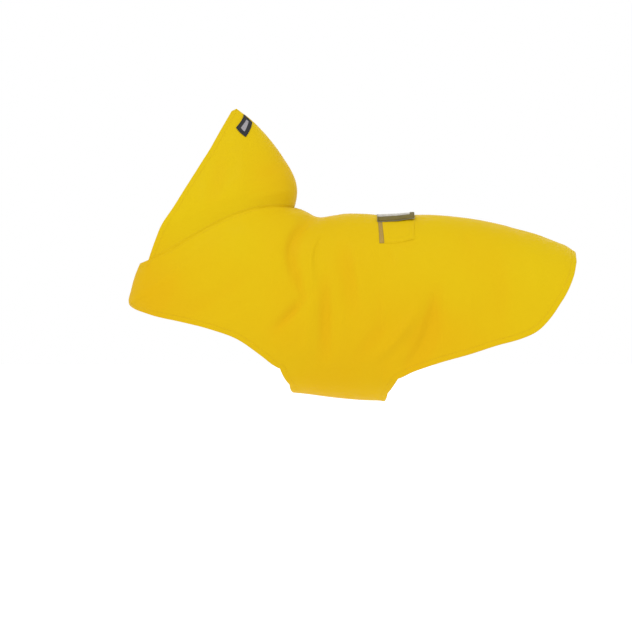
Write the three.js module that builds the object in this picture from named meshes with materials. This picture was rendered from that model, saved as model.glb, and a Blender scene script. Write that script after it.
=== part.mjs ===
// A hooded raincoat for a large dog, in its worn form, with nobody in it.
// Millimetres, +Z up, +X towards the tail, -Y on the dog's left.
// The origin is under the cloth at the top of the shoulders, where the back carries the coat.
//
// The coat is two side panels, each cut in one with its chest flap and its belly flap, joined
// along the spine, and a hood of two halves joined along the crown.
// The left flaps close over the right ones at the chest and under the belly.
// A lead passes through a slit in the back seam, under a grey reflective flap with a dark edge.

import * as THREE from "three";

// Driving sizes
const CLOTH = 1.4; // thickness of the coated cloth
const SEAM_GAP = 0.3; // space left between pieces that are sewn together
const TAPE = 0.8; // thickness of tapes, patches and labels
const TRIM_GAP = 0.4; // space left under the trim of the lead slit and under the label
const ROUNDNESS = 2.35; // exponent of the rounded sections, 2 for an ellipse
const THROAT_TAPER = 0.24; // how much narrower a section is at the chest than at the back
const SKIRT_FLARE = 0.07; // how far the loose sides stand out below the hips
const BELLY_OVERLAP = 26; // how far each belly flap reaches past the middle, in degrees
const CHEST_OVERLAP = 30; // how far each chest flap reaches past the middle, in degrees
const CLOSURE_LIFT = CLOTH + SEAM_GAP; // from the under flap's face to the upper flap's
const SLIT_HALF = 1.5; // half the width of the lead slit
const LEAD_FLAP_RISE = 2.5; // how far the free end of the lead slit's flap stands up

// Sections of the body from the tail hem to the neck seam. Each runs from the back to the belly line.
// width is half the widest, hang is how far the sides drop straight, bow lifts the line,
// hem is the share of the way down at which the cloth ends, and steps is how many strips follow.
const SECTIONS = [
  { backX: 378, backZ: -58, bellyX: 378, bellyZ: -296, width: 92, hang: 0.8, bow: 0, hem: 0.07, steps: 1 },
  { backX: 373, backZ: -55, bellyX: 373, bellyZ: -296, width: 94, hang: 0.8, bow: 0, hem: 0.175, steps: 1 },
  { backX: 362, backZ: -48, bellyX: 362, bellyZ: -296, width: 97, hang: 0.8, bow: 0, hem: 0.302, steps: 1 },
  { backX: 349, backZ: -43, bellyX: 349, bellyZ: -296, width: 100, hang: 0.8, bow: 0, hem: 0.4, steps: 1 },
  { backX: 334, backZ: -37, bellyX: 334, bellyZ: -296, width: 102, hang: 0.8, bow: 0, hem: 0.497, steps: 1 },
  { backX: 314, backZ: -29.5, bellyX: 314, bellyZ: -296, width: 104, hang: 0.8, bow: 0, hem: 0.585, steps: 2 },
  { backX: 286, backZ: -22, bellyX: 286, bellyZ: -296, width: 106, hang: 0.8, bow: 0, hem: 0.643, steps: 2 },
  { backX: 248, backZ: -12, bellyX: 248, bellyZ: -297, width: 108, hang: 0.8, bow: 0, hem: 0.69, steps: 2 },
  { backX: 206, backZ: -4.5, bellyX: 206, bellyZ: -298, width: 109, hang: 0.78, bow: 0, hem: 0.742, steps: 3 },
  { backX: 160, backZ: 0.3, bellyX: 160, bellyZ: -299, width: 110, hang: 0.68, bow: 0, hem: 0.787, steps: 3 },
  { backX: 119, backZ: 1.2, bellyX: 119, bellyZ: -299, width: 110, hang: 0.5, bow: 0, hem: 0.835, steps: 2 },
  { backX: 92, backZ: 0.6, bellyX: 92, bellyZ: -298, width: 110, hang: 0.3, bow: 0, hem: 0.878, steps: 2 },
  { backX: 71, backZ: 0.5, bellyX: 71, bellyZ: -297, width: 110, hang: 0.14, bow: 0, hem: 0.884, steps: 1 },
  { backX: 63, backZ: 0.6, bellyX: 62, bellyZ: -296, width: 110, hang: 0.1, bow: 0, hem: 0.886, steps: 2 },
  { backX: 42, backZ: 2.5, bellyX: 34, bellyZ: -295, width: 110, hang: 0.03, bow: 0, hem: 0.89, steps: 3 },
  { backX: 12, backZ: 3, bellyX: -10, bellyZ: -291, width: 110, hang: 0, bow: 0, hem: 0.89, steps: 3 },
  { backX: -10, backZ: 0, bellyX: -56, bellyZ: -285, width: 110, hang: 0, bow: 0, hem: 0.885, steps: 3 },
  { backX: -22, backZ: -2, bellyX: -106, bellyZ: -280, width: 110, hang: 0, bow: 0, hem: 0.876, steps: 3 },
  { backX: -30, backZ: -3, bellyX: -149, bellyZ: -271, width: 110, hang: 0, bow: 3, hem: 0.822, steps: 3 },
  { backX: -38, backZ: -2, bellyX: -197, bellyZ: -251, width: 109, hang: 0, bow: 6, hem: 0.79, steps: 3 },
  { backX: -45, backZ: 1, bellyX: -245, bellyZ: -226, width: 108, hang: 0, bow: 9, hem: 0.812, steps: 2 },
  { backX: -52, backZ: 5, bellyX: -286, bellyZ: -197, width: 106, hang: 0, bow: 12, hem: 0.872, steps: 2 },
  { backX: -58, backZ: 8, bellyX: -316, bellyZ: -169, width: 103, hang: 0, bow: 15, hem: 0.945, steps: 2 },
  { backX: -63, backZ: 10, bellyX: -337, bellyZ: -143, width: 99, hang: 0, bow: 17, hem: 1, steps: 2 },
  { backX: -67, backZ: 11, bellyX: -334, bellyZ: -120, width: 94, hang: 0, bow: 19, hem: 1, steps: 2 },
  { backX: -70, backZ: 12, bellyX: -328, bellyZ: -98, width: 90, hang: 0, bow: 20, hem: 1, steps: 2 },
  { backX: -73, backZ: 12, bellyX: -320, bellyZ: -78, width: 87, hang: 0, bow: 21, hem: 1, steps: 1 },
];
const NECK = SECTIONS.length - 1; // the neck seam's place in the list of sections
const CHEST_HEM = 23; // the section where the chest flap starts
// The belly flap's rear and front edges, at its root, where it turns under, and at the overlap
const BELLY_REAR = { base: 11, turn: 11.72, end: 11.98 };
const BELLY_FRONT = { base: 17, turn: 16.54, end: 16.36 };
const PANEL_ROWS = 18; // strips of cloth from the spine to the hem
const BELLY_ROWS = { root: 2, overlap: 6 }; // strips of the belly flap
const CHEST_ROWS = 3; // strips of the chest flap past the middle

// Rows of the hood above the neck seam, up to the peak: its crown seam and its face edge seen from the
// side, its half width, how far round it closes towards the face, in degrees, and its bow.
const HOOD_ROWS_UP = [
  { crownX: -69, crownZ: 32, faceX: -293, faceZ: -38, width: 89, closes: 138, taper: 0.2, bow: 16 },
  { crownX: -70, crownZ: 51, faceX: -283, faceZ: -15, width: 88, closes: 129, taper: 0.16, bow: 12 },
  { crownX: -77.5, crownZ: 71, faceX: -265, faceZ: 12, width: 82, closes: 121, taper: 0.12, bow: 8 },
  { crownX: -90.5, crownZ: 92, faceX: -246, faceZ: 43, width: 72, closes: 114, taper: 0.1, bow: 4 },
  { crownX: -104.5, crownZ: 112, faceX: -227, faceZ: 74, width: 59, closes: 108, taper: 0.08, bow: 2 },
  { crownX: -123.5, crownZ: 135, faceX: -208, faceZ: 106, width: 43, closes: 103, taper: 0.06, bow: 0 },
  { crownX: -144, crownZ: 155, faceX: -190, faceZ: 139, width: 26, closes: 98, taper: 0.04, bow: 0 },
  { crownX: -166, crownZ: 172, faceX: -174, faceZ: 168, width: 6, closes: 92, taper: 0, bow: 0 },
];
const HOOD_COLUMNS = 15; // of the panel's rows, those that the hood is sewn to
const HOOD_ROWS = 14;
const FACE_ANGLE = (Math.PI * HOOD_COLUMNS) / PANEL_ROWS; // how far round the neck the hood is sewn on

// The largest folds of the body, seen from the left side: a curve from one point via another to a third,
// its half width, and its height, below zero for a trough. side is -1 left, 1 right, 0 both.
const FOLDS = [
  { side: 0, fromX: -72, fromZ: 0, viaX: -104, viaZ: -52, toX: -66, toZ: -124, half: 13, height: -5 },
  { side: -1, fromX: -66, fromZ: -120, viaX: -82, viaZ: -146, toX: -114, toZ: -180, half: 12, height: -3.5 },
  { side: 0, fromX: -40, fromZ: -24, viaX: -62, viaZ: -62, toX: -44, toZ: -106, half: 12, height: 3.5 },
  { side: 0, fromX: -26, fromZ: -104, viaX: -28, viaZ: -160, toX: -26, toZ: -222, half: 12, height: -4.5 },
  { side: -1, fromX: -52, fromZ: -116, viaX: -48, viaZ: -162, toX: -54, toZ: -214, half: 12, height: 3 },
  { side: 0, fromX: 6, fromZ: -54, viaX: 10, viaZ: -100, toX: 18, toZ: -150, half: 13, height: -3 },
  { side: -1, fromX: 144, fromZ: -124, viaX: 130, viaZ: -186, toX: 96, toZ: -238, half: 15, height: -5.5 },
  { side: -1, fromX: 110, fromZ: -130, viaX: 82, viaZ: -176, toX: 40, toZ: -226, half: 16, height: 4.5 },
  { side: -1, fromX: 56, fromZ: -176, viaX: 40, viaZ: -200, toX: 18, toZ: -230, half: 12, height: -3.5 },
  { side: 1, fromX: 150, fromZ: -108, viaX: 128, viaZ: -176, toX: 88, toZ: -236, half: 15, height: -5 },
  { side: 1, fromX: 104, fromZ: -118, viaX: 82, viaZ: -170, toX: 50, toZ: -218, half: 15, height: 4 },
  { side: 1, fromX: -84, fromZ: -112, viaX: -94, viaZ: -150, toX: -122, toZ: -188, half: 13, height: -3.5 },
  { side: 1, fromX: 62, fromZ: -92, viaX: 56, viaZ: -140, toX: 38, toZ: -192, half: 14, height: -3 },
];
const HOOD_FOLDS = [
  { side: 0, fromX: -153, fromZ: 120, viaX: -156, viaZ: 88, toX: -160, toZ: 44, half: 14, height: 3 },
  { side: 0, fromX: -186, fromZ: 96, viaX: -196, viaZ: 50, toX: -204, toZ: 8, half: 16, height: -3 },
];

// The lead slit in the back seam, by the sections at its ends
const SLIT = { front: 12.1, back: 10.4 };

// Its trim, by the sections at the front and back edges, how much each edge slants back on its way down,
// and the panel rows that it reaches down to
const TAPE_ACROSS = { front: 13.25, frontSlant: 0.25, back: 12.75, backSlant: 0.7, rows: 6.5 };
const SLIT_PATCH = { front: 12.7, slant: 0.7, back: 10, rows: 6.5 };
const LEAD_FLAP = { front: 13.2, back: 10, rows: 3.25, bindingRows: 1.25, bindingBack: 10.12 };

// The label on the hood's left half, by its corners: the hood row, and the share of the way to the face edge
const LABEL = [
  { row: 7.45, share: 0.05 },
  { row: 6.82, share: 0.05 },
  { row: 5.98, share: 0.33 },
  { row: 6.68, share: 0.52 },
];

// Colours
const YELLOW = new THREE.MeshStandardMaterial({ color: 0xe6bd1a, roughness: 0.62, metalness: 0 });
const DARK_TAPE = new THREE.MeshStandardMaterial({ color: 0x5a5244, roughness: 0.7, metalness: 0 });
const REFLECTIVE = new THREE.MeshStandardMaterial({ color: 0xa6a49c, roughness: 0.35, metalness: 0.4 });
const LABEL_BLACK = new THREE.MeshStandardMaterial({ color: 0x17161a, roughness: 0.8, metalness: 0 });

const radians = (degrees) => (degrees * Math.PI) / 180;
const clamp = (value, low, high) => Math.min(high, Math.max(low, value));
const mix = (a, b, share) => a + (b - a) * share;
const smooth = (value, from, to) => {
  const share = clamp((value - from) / (to - from), 0, 1);
  return share * share * (3 - 2 * share);
};
const signedPower = (value, power) => Math.sign(value) * Math.abs(value) ** power;

// A smooth curve through one column of a table, straight past its ends
function column(table, name, place) {
  const last = table.length - 1;
  if (place < 0) return table[0][name] + (table[1][name] - table[0][name]) * place;
  if (place > last) return table[last][name] + (table[last][name] - table[last - 1][name]) * (place - last);
  const i = Math.min(Math.floor(place), last - 1);
  const t = place - i;
  const p1 = table[i][name];
  const p2 = table[i + 1][name];
  const p0 = i > 0 ? table[i - 1][name] : 2 * p1 - p2;
  const p3 = i + 2 <= last ? table[i + 2][name] : 2 * p2 - p1;
  const cubic = 3 * (p1 - p2) + p3 - p0;
  const square = 2 * p0 - 5 * p1 + 4 * p2 - p3;
  return p1 + 0.5 * t * (p2 - p0 + t * (square + t * cubic));
}

// How far down a section an angle from the spine lies, from 0 at the back to 1 at the belly
const shareAt = (angle) => (1 - signedPower(Math.cos(angle), 2 / ROUNDNESS)) / 2;
const angleAt = (share) => Math.acos(signedPower(1 - 2 * clamp(share, 0, 1), ROUNDNESS / 2));

// The hood's rows, of which the first is the neck seam itself
const neckLine = SECTIONS[NECK];
const HOOD = [
  {
    crownX: neckLine.backX,
    crownZ: neckLine.backZ,
    faceX: mix(neckLine.backX, neckLine.bellyX, shareAt(FACE_ANGLE)),
    faceZ: mix(neckLine.backZ, neckLine.bellyZ, shareAt(FACE_ANGLE)),
    width: neckLine.width,
    closes: (FACE_ANGLE * 180) / Math.PI,
    taper: THROAT_TAPER,
    bow: neckLine.bow,
  },
  ...HOOD_ROWS_UP,
];
const HOOD_TOP = HOOD.length - 1;

// The bow of a section, highest a third of the way down
const bowShape = (share) => 6.75 * share * (1 - share) ** 2;

// Height of all folds at a place seen from the side
function foldHeight(folds, side, x, z) {
  let height = 0;
  for (const fold of folds) {
    if (fold.side !== 0 && fold.side !== side) continue;
    let nearest = Infinity;
    let nearestShare = 0;
    const steps = 12;
    for (let k = 0; k <= steps; k++) {
      const t = k / steps;
      const bx = (1 - t) ** 2 * fold.fromX + 2 * t * (1 - t) * fold.viaX + t * t * fold.toX;
      const bz = (1 - t) ** 2 * fold.fromZ + 2 * t * (1 - t) * fold.viaZ + t * t * fold.toZ;
      const distance = Math.hypot(x - bx, z - bz);
      if (distance < nearest) {
        nearest = distance;
        nearestShare = t;
      }
    }
    const along = Math.sin(Math.PI * mix(0.12, 0.88, nearestShare));
    height += fold.height * along * Math.exp(-((nearest / fold.half) ** 2));
  }
  return height;
}

// A point on the smooth form of the body, which its right half shows as it is
function bodyForm(place, angle) {
  const value = (name) => column(SECTIONS, name, place);
  const share = shareAt(angle);
  const backX = value("backX");
  const backZ = value("backZ");
  const alongX = value("bellyX") - backX;
  const alongZ = value("bellyZ") - backZ;
  const length = Math.hypot(alongX, alongZ);
  const bow = value("bow") * bowShape(share);
  const width = value("width");
  const hang = value("hang") * (1 - smooth(share, 0.87, 0.97));
  const round = width * signedPower(Math.sin(angle), 2 / ROUNDNESS);
  const flared = Math.sign(Math.sin(angle)) * width * (1 + SKIRT_FLARE * (2 * share - 1));
  const straight = angle > Math.PI / 2 ? flared : round;
  const taper = 1 - THROAT_TAPER * share * smooth(place, 18, NECK);
  return new THREE.Vector3(
    backX + alongX * share + (bow * alongZ) / length,
    mix(round, straight, hang) * taper,
    backZ + alongZ * share - (bow * alongX) / length,
  );
}

// The same for the hood, whose rows close round by their own angle
function hoodForm(row, angle) {
  const value = (name) => column(HOOD, name, row);
  const closes = radians(value("closes"));
  const turned = (angle / FACE_ANGLE) * closes;
  const share = shareAt(turned);
  const crownX = value("crownX");
  const crownZ = value("crownZ");
  const alongX = (value("faceX") - crownX) / shareAt(closes);
  const alongZ = (value("faceZ") - crownZ) / shareAt(closes);
  const length = Math.hypot(alongX, alongZ);
  const bow = value("bow") * bowShape(share);
  const round = value("width") * signedPower(Math.sin(turned), 2 / ROUNDNESS);
  return new THREE.Vector3(
    crownX + alongX * share + (bow * alongZ) / length,
    round * (1 - value("taper") * share),
    crownZ + alongZ * share - (bow * alongX) / length,
  );
}

// The outward direction of a form at a place
function outward(form, place, angle, step = 0.02) {
  const along = form(place + step, angle).sub(form(place - step, angle));
  const round = form(place, angle + step).sub(form(place, angle - step));
  const normal = round.cross(along);
  if (Math.abs(angle) < 1e-6) normal.y = 0;
  return normal.normalize();
}

// How far the upper panel, on the left, stands off to lie over the closures
function closureLift(side, angle) {
  return side < 0 ? CLOSURE_LIFT * smooth(angle, radians(130), radians(150)) : 0;
}

// A point on the body's outer face, on the half that side names: -1 left, 1 right. An angle below zero
// is on the other half, and lift is the distance off the face.
function bodyAt(side, place, angle, lift = 0) {
  const turned = Math.abs(angle);
  const half = angle < 0 ? -side : side;
  const point = bodyForm(place, turned);
  const settled = smooth(turned, 0, radians(22)) * (1 - smooth(turned, radians(122), radians(148)));
  const fold = foldHeight(FOLDS, half, point.x, point.z) * settled;
  point.addScaledVector(outward(bodyForm, place, turned), fold + lift);
  if (angle < 0) point.y *= -1;
  return point;
}

// The same on the hood. Its first row stands clear of the neck seam, more where it leans in over it.
function hoodAt(side, row, angle, lift = 0) {
  const point = hoodForm(row, angle);
  const settled = smooth(angle, 0, radians(30)) * smooth(row, 0.3, 1.6);
  const fold = foldHeight(HOOD_FOLDS, side, point.x, point.z) * settled;
  const neckOut = outward(bodyForm, NECK, angle);
  point.addScaledVector(outward(hoodForm, row, angle), fold + lift);
  point.addScaledVector(neckOut, closureLift(side, angle) * (1 - smooth(row, 0, 2)));
  if (row > 0) return point;
  const up = hoodForm(0.1, angle).sub(hoodForm(0, angle)).normalize();
  const lean = Math.max(0, -up.dot(neckOut));
  return point.addScaledVector(up, SEAM_GAP + CLOTH * lean);
}

// Cloth laid on a form from grids of places and angles. Points that two grids share are one point.
// Each point has an outer and an inner end. spine gives half the gap where the cloth meets the middle.
function layCloth({ at, side, grids, lift, thickness, spine }) {
  const cloth = { outer: [], inner: [], faces: [] };
  const known = new Map();
  const pointAt = ({ place, angle }) => {
    const key = `${place.toFixed(5)},${angle.toFixed(5)}`;
    if (known.has(key)) return known.get(key);
    const height = lift(place, angle);
    const ends = [at(side, place, angle, height), at(side, place, angle, height - thickness)];
    for (const end of ends) {
      if (spine && Math.abs(angle) < 1e-6) end.y = spine(place);
      else if (spine && angle < Math.PI - 1e-6) end.y = Math.max(end.y, SEAM_GAP / 2);
    }
    cloth.outer.push(ends[0]);
    cloth.inner.push(ends[1]);
    known.set(key, cloth.outer.length - 1);
    return cloth.outer.length - 1;
  };
  for (const grid of grids) {
    const ids = grid.map((line) => line.map(pointAt));
    for (let i = 0; i + 1 < ids.length; i++) {
      for (let j = 0; j + 1 < ids[i].length; j++) {
        cloth.faces.push([ids[i][j], ids[i + 1][j], ids[i + 1][j + 1], ids[i][j + 1]]);
      }
    }
  }
  return cloth;
}

// A closed wall: the outer face, the inner face turned round, and a rim along every free edge
function wallGeometry(cloth, mirrored) {
  const count = cloth.outer.length;
  const positions = [...cloth.outer, ...cloth.inner].flatMap((p) => [p.x, mirrored ? -p.y : p.y, p.z]);
  const triangles = [];
  const edges = new Map();
  for (const [a, b, c, d] of cloth.faces) {
    const shortAC = cloth.outer[a].distanceTo(cloth.outer[c]) <= cloth.outer[b].distanceTo(cloth.outer[d]);
    const halves = shortAC ? [[a, b, c], [a, c, d]] : [[a, b, d], [b, c, d]];
    for (const [p, q, r] of halves) triangles.push([p, q, r], [p + count, r + count, q + count]);
    for (const [p, q] of [[a, b], [b, c], [c, d], [d, a]]) {
      if (!edges.delete(`${q},${p}`)) edges.set(`${p},${q}`, [p, q]);
    }
  }
  for (const [p, q] of edges.values()) triangles.push([p, p + count, q], [q, p + count, q + count]);
  const geometry = new THREE.BufferGeometry();
  geometry.setAttribute("position", new THREE.Float32BufferAttribute(positions, 3));
  geometry.setIndex(facingOut(positions, triangles).flat());
  geometry.computeVertexNormals();
  return geometry;
}

// Turns every triangle round if the solid would be inside out
function facingOut(positions, triangles) {
  const at = (i) => new THREE.Vector3().fromArray(positions, 3 * i);
  const volume = triangles.reduce((sum, [p, q, r]) => sum + at(p).dot(at(q).cross(at(r))), 0);
  return volume > 0 ? triangles : triangles.map(([p, q, r]) => [p, r, q]);
}

// A grid with a line of points at each place, its angles given by a function of the place
function gridOf(places, anglesAt) {
  return places.map((place) => anglesAt(place).map((angle) => ({ place, angle })));
}
const range = (from, to, steps) => Array.from({ length: steps + 1 }, (_, k) => mix(from, to, k / steps));

// Places along the body where a line of points lies
const PLACES = SECTIONS.flatMap(({ steps }, i) => (i < NECK ? range(i, i + 1, steps).slice(0, -1) : [i]));
const placesBetween = (from, to) => PLACES.filter((place) => place > from - 1e-6 && place < to + 1e-6);

const hemAngle = (place) => angleAt(column(SECTIONS, "hem", place));
const rowAngle = (place, row) => (hemAngle(place) * row) / PANEL_ROWS;

// Half the gap at the spine, wider along the lead slit
function spineGap(place) {
  const open = smooth(place, SLIT.back - 0.4, SLIT.back) * (1 - smooth(place, SLIT.front, SLIT.front + 0.2));
  return mix(SEAM_GAP / 2, SLIT_HALF, open);
}

// The belly flap, from the hem down to the overlap and on past the middle
function bellyGrid() {
  const roots = placesBetween(BELLY_REAR.base, BELLY_FRONT.base);
  const start = Math.PI - radians(BELLY_OVERLAP);
  const end = Math.PI + radians(BELLY_OVERLAP);
  return roots.map((root, i) => {
    const across = i / (roots.length - 1);
    const turn = mix(BELLY_REAR.turn, BELLY_FRONT.turn, across);
    const last = mix(BELLY_REAR.end, BELLY_FRONT.end, across);
    const line = range(0, 1, BELLY_ROWS.root).slice(0, -1).map((down) => ({
      place: mix(root, turn, down),
      angle: mix(hemAngle(root), start, down),
    }));
    const under = range(start, end, BELLY_ROWS.overlap).map((angle) => ({
      place: mix(turn, last, clamp((angle - start) / (Math.PI - start), 0, 1)),
      angle,
    }));
    return [...line, ...under];
  });
}

const chestAngles = () => range(Math.PI, Math.PI + radians(CHEST_OVERLAP), CHEST_ROWS);
const chestGrid = () => gridOf(placesBetween(CHEST_HEM, NECK), chestAngles);

// One side panel, cut in one with its flaps. The left one lies over the right one at the closures.
function sidePanel(side) {
  const main = gridOf(PLACES, (place) => range(0, PANEL_ROWS, PANEL_ROWS).map((row) => rowAngle(place, row)));
  const grids = [main, bellyGrid(), chestGrid()];
  const lift = (_, angle) => closureLift(side, angle);
  return layCloth({ at: bodyAt, side, grids, lift, thickness: CLOTH, spine: spineGap });
}

function hoodHalf(side) {
  const angles = range(0, FACE_ANGLE, HOOD_COLUMNS);
  const grids = [gridOf(range(0, HOOD_TOP, HOOD_ROWS), () => angles)];
  return layCloth({ at: hoodAt, side, grids, lift: () => 0, thickness: CLOTH, spine: () => SEAM_GAP / 2 });
}

// The lead slit's flap stands up more towards its free end
const leadFlapLift = (place) =>
  CLOTH + TRIM_GAP + SEAM_GAP + TAPE + LEAD_FLAP_RISE * clamp((LEAD_FLAP.front - place) / 3.2, 0, 1) ** 2;

// Places across the trim between two edges, each shifted with its row for the slant
function slantedGrid(front, frontSlant, back, backSlant, lowRow, highRow, rowSteps) {
  const between = placesBetween(back + 0.1, front - frontSlant - 0.1);
  return [back, ...between, front].map((place, i, all) =>
    range(lowRow, highRow, rowSteps).map((row) => {
      const slant = i === 0 ? backSlant : i === all.length - 1 ? frontSlant : 0;
      const moved = place - (slant * Math.abs(row)) / TAPE_ACROSS.rows;
      return { place: moved, angle: rowAngle(moved, row) };
    }));
}

function slitPatch(side) {
  const { front, slant, back, rows } = SLIT_PATCH;
  const grids = [slantedGrid(front, slant, back, 0, 0, rows, 7)];
  const spine = () => SLIT_HALF;
  return layCloth({ at: bodyAt, side, grids, lift: () => TRIM_GAP + TAPE, thickness: TAPE, spine });
}

function tapeAcross() {
  const { front, frontSlant, back, backSlant, rows } = TAPE_ACROSS;
  const grids = [slantedGrid(front, frontSlant, back, backSlant, -rows, rows, 14)];
  return layCloth({ at: bodyAt, side: 1, grids, lift: () => TRIM_GAP + TAPE, thickness: TAPE });
}

function leadFlap() {
  const { front, back, rows } = LEAD_FLAP;
  const grids = [slantedGrid(front, 0, back, 0, -rows, rows, 8 * rows)];
  return layCloth({ at: bodyAt, side: 1, grids, lift: leadFlapLift, thickness: CLOTH });
}

// The flap's dark edge: down one side, across the free end and up the other side
function flapBinding() {
  const { front, back, rows, bindingRows, bindingBack } = LEAD_FLAP;
  const along = [back, bindingBack, ...placesBetween(bindingBack + 0.1, front - 0.1), front];
  const inner = rows - bindingRows;
  const bands = [
    { places: along, at: range(-rows, -inner, 4 * bindingRows) },
    { places: [back, bindingBack], at: range(-inner, inner, 8 * inner) },
    { places: along, at: range(inner, rows, 4 * bindingRows) },
  ];
  const grids = bands.map(({ places, at }) =>
    gridOf(places, (place) => at.map((row) => rowAngle(place, row))));
  const lift = (place) => leadFlapLift(place) + SEAM_GAP + TAPE;
  return layCloth({ at: bodyAt, side: 1, grids, lift, thickness: TAPE });
}

// A patch on the left half of the hood between four corners, inset by a share of its size
function hoodPatch(corners, steps, lift, thickness, inset) {
  const value = (name, across, down) => mix(
    mix(corners[0][name], corners[1][name], across),
    mix(corners[3][name], corners[2][name], across),
    down,
  );
  const grid = range(inset, 1 - inset, steps).map((across) => range(inset, 1 - inset, steps).map((down) => {
    const place = value("row", across, down);
    const closes = radians(column(HOOD, "closes", place));
    const turned = angleAt(value("share", across, down) * shareAt(closes));
    return { place, angle: (turned / closes) * FACE_ANGLE };
  }));
  return layCloth({ at: hoodAt, side: -1, grids: [grid], lift: () => lift, thickness });
}

const coat = new THREE.Group();

function addPiece(name, cloth, material, mirrored) {
  const mesh = new THREE.Mesh(wallGeometry(cloth, mirrored), material);
  mesh.name = name;
  coat.add(mesh);
}

for (const [end, side] of [["left", -1], ["right", 1]]) {
  addPiece(`body_${end}`, sidePanel(side), YELLOW, side < 0);
  addPiece(`hood_${end}`, hoodHalf(side), YELLOW, side < 0);
  addPiece(`slit_patch_${end}`, slitPatch(side), YELLOW, side < 0);
}
addPiece("tape_across", tapeAcross(), REFLECTIVE, false);
addPiece("lead_flap", leadFlap(), REFLECTIVE, false);
addPiece("flap_binding", flapBinding(), DARK_TAPE, false);
addPiece("hood_label", hoodPatch(LABEL, 5, TRIM_GAP + TAPE, TAPE, 0), LABEL_BLACK, true);

export default coat;
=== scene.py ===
# %% [markdown]
# # A hooded raincoat for a large dog
# The coat is thin coated cloth: two side panels joined along the spine, a hood of two halves, a covered
# slit for the lead, and reflective tape. It is shown in its worn form, with nobody in it.
# The CAD part is loaded first as a fixed frame, and every piece of cloth here is laid on its form.

# %% Load the frame
import math

import bpy
import numpy as np
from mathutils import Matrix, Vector, kdtree, noise


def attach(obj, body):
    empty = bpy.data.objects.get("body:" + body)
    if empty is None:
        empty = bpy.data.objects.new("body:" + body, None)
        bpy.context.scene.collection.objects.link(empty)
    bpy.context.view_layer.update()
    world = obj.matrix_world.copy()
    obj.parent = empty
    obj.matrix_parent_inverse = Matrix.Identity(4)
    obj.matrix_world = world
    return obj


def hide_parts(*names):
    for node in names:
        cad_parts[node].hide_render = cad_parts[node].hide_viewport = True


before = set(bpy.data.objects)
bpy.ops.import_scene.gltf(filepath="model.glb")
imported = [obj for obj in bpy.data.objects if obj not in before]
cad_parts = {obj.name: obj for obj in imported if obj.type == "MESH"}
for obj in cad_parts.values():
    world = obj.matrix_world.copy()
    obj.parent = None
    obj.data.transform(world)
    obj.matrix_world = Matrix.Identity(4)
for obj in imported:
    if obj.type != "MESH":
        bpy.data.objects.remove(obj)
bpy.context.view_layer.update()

# %% [markdown]
# ## Camera
# The coat is seen straight from its left side, from far away, so near and far edges keep their size.
# A long lens on a camera at the height of the coat's middle gives that view. The frame is a square.

# %% Camera
VIEW_WIDTH = 1.011  # metres across the frame, at the coat
VIEW_CENTRE = (-0.0384, -0.05, -0.1616)
CAMERA_AWAY, SENSOR, FAR_END = 10.0, 36, 100


def add_object(name, data):
    thing = bpy.data.objects.new(name, data)
    bpy.context.scene.collection.objects.link(thing)
    return thing


camera_data = bpy.data.cameras.new("camera")
camera_data.sensor_width, camera_data.clip_end = SENSOR, FAR_END
camera_data.lens = SENSOR * CAMERA_AWAY / VIEW_WIDTH
camera = add_object("camera", camera_data)
camera.location = (VIEW_CENTRE[0], VIEW_CENTRE[1] - CAMERA_AWAY, VIEW_CENTRE[2])
camera.rotation_euler = (math.pi / 2, 0, 0)
bpy.context.scene.camera = camera
print("lens, mm:", round(camera_data.lens))

# %% [markdown]
# ## Floor and light
# The light is that of a white studio: white all round, with one large soft lamp from the upper front
# left that shows the folds, a weaker one from the upper right that fills them, and a third one for
# the far side. The backdrop is whiter to the camera than the light that it gives off, as a white wall
# behind the object is in a photo. The floor is pale and far below the coat, because a worn coat hangs
# at the height of a dog's back.

# %% Floor and light
FLOOR, FLOOR_RADIUS = -0.556, 40
FLOOR_GREY, FLOOR_ROUGH, FLOOR_GLOW = 0.3, 0.9, 0.87
SKY_LIGHT, SKY_SEEN = 0.74, 1.0  # how much light the white backdrop gives, and how white it looks
# Name, strength, spread in degrees, and where the light comes from
LAMPS = [("key_light", 1.05, 34, (-0.35, -0.57, 0.75)), ("fill_light", 0.34, 60, (0.78, -0.28, 0.55)),
         ("back_light", 0.7, 60, (0.2, 0.86, 0.3))]


def node_material(name):
    material = bpy.data.materials.new(name)
    material.use_nodes = True
    return material, material.node_tree.nodes["Principled BSDF"]


def deselect_all():
    bpy.ops.object.select_all(action="DESELECT")


def soft_sun(name, strength, spread, toward):
    """A far lamp with soft shadows, which shines from the direction that toward names."""
    lamp = bpy.data.lights.new(name, "SUN")
    lamp.energy, lamp.angle = strength, math.radians(spread)
    add_object(name, lamp).rotation_euler = (-Vector(toward)).to_track_quat("-Z", "Y").to_euler()


deselect_all()
bpy.ops.mesh.primitive_circle_add(vertices=96, radius=FLOOR_RADIUS, fill_type="NGON",
                                  location=(0, 0, FLOOR))
floor = bpy.context.object
floor.name = "floor"
bpy.ops.object.transform_apply(location=True, rotation=True, scale=True)
floor_paint, floor_shader = node_material("floor_paint")
for key, value in (("Base Color", (FLOOR_GREY, FLOOR_GREY, FLOOR_GREY, 1)), ("Roughness", FLOOR_ROUGH),
                   ("Emission Color", (1, 1, 1, 1)), ("Emission Strength", FLOOR_GLOW)):
    floor_shader.inputs[key].default_value = value
floor.data.materials.append(floor_paint)

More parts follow.
